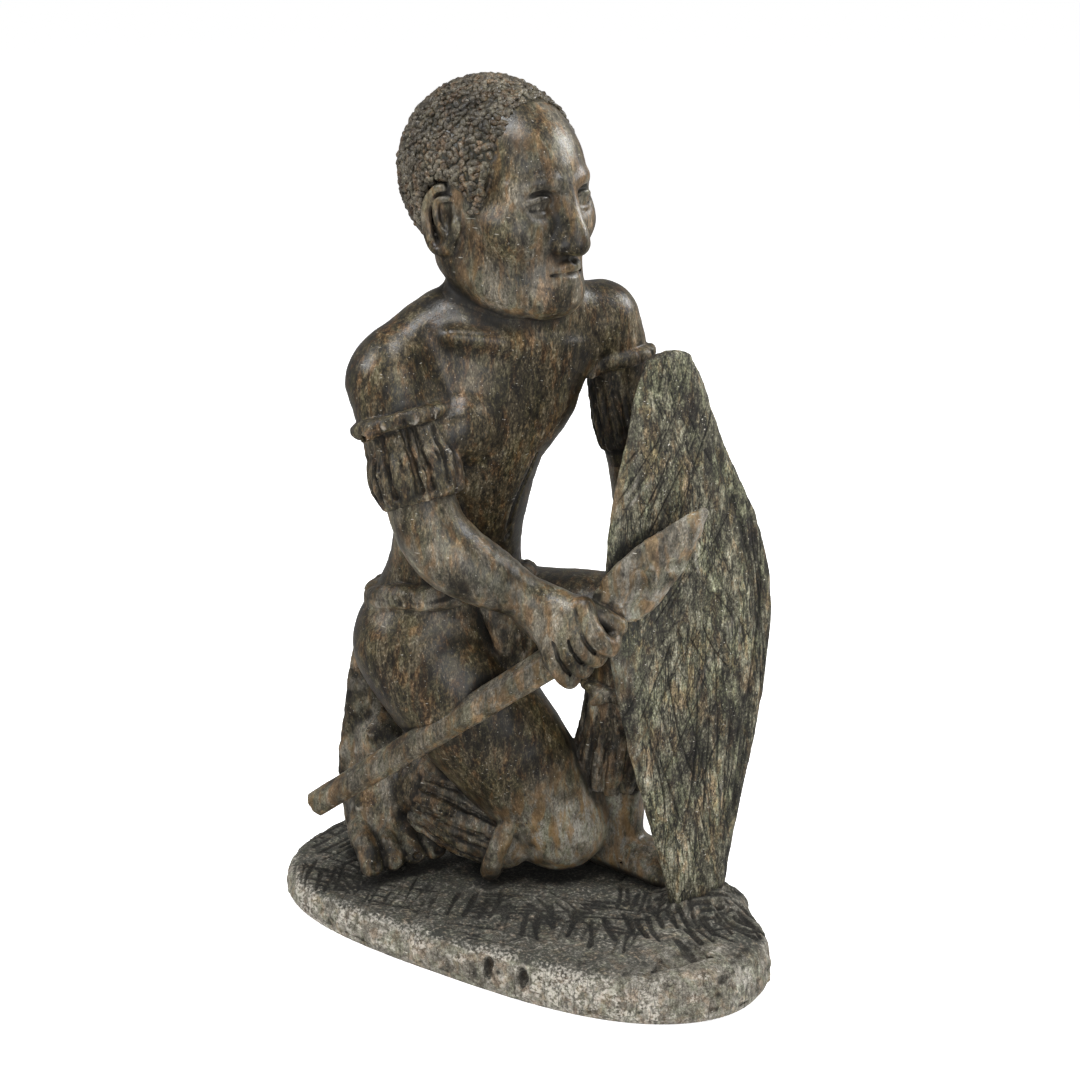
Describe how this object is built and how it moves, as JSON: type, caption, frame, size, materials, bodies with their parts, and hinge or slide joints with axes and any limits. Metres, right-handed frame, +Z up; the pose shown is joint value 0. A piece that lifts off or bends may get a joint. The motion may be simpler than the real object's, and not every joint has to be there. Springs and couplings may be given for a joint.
{
  "type": "kneeling man sculpture",
  "caption": "Carved stone figure of a kneeling man with a shield and a short spear, on a low rounded base of the same block, for a shelf or table.",
  "frame": {"origin": "centre of the bounding box, on the flat underside of the base", "axes": "+Z up, the figure looks towards -Y, its right side is towards -X"},
  "size_m": [0.1626, 0.2888, 0.4485],
  "materials": {
    "soapstone": "polished skin, chiselled matte base, shield and dress"
  },
  "bodies": {
    "root": {"kneeling_man_with_shield": "soapstone"}
  },
  "joints": []
}
